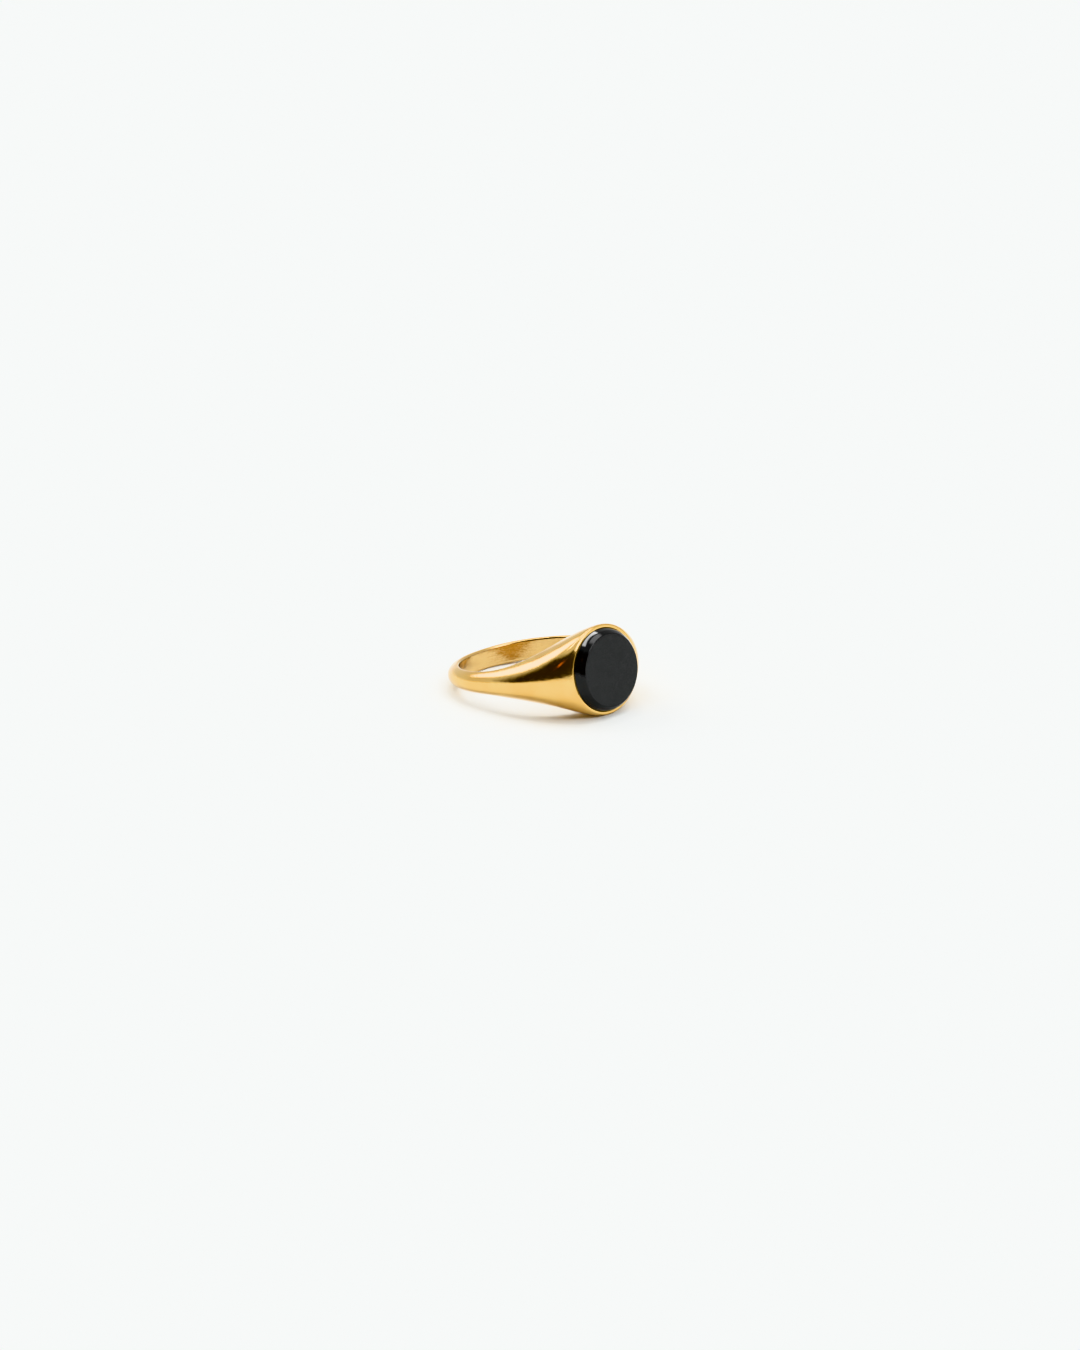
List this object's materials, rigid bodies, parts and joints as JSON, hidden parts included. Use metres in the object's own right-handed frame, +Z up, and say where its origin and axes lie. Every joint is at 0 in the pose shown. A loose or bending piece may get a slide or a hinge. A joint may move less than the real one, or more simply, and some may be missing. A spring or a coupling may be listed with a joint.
{
  "type": "signet ring",
  "caption": "Signet ring: a slim tapering gold-tone band swells through smooth shoulders into a round head, where a thin lip holds a flat-topped, bevelled black stone that stands proud",
  "frame": {"origin": "on the table the ring lies on, under the middle of its bounding box", "axes": "+Z is up from the table; +X runs sideways across the ring and is its mirror direction; the stone's face looks towards -Y, leaning back 11.33 degrees, because the wide head and the back of the band both touch the table; +Y runs from the head towards the back of the band"},
  "size_m": [0.02, 0.024, 0.0106],
  "materials": {
    "gold_plate": "mirror-polished yellow gold plate over a cast metal body",
    "onyx": "polished opaque black onyx, table slightly softer than the bevel",
    "cement": "cured dark epoxy"
  },
  "bodies": {
    "root": {"ring_body": "gold_plate", "onyx_tablet": "onyx", "stone_cement": "cement"}
  },
  "joints": []
}
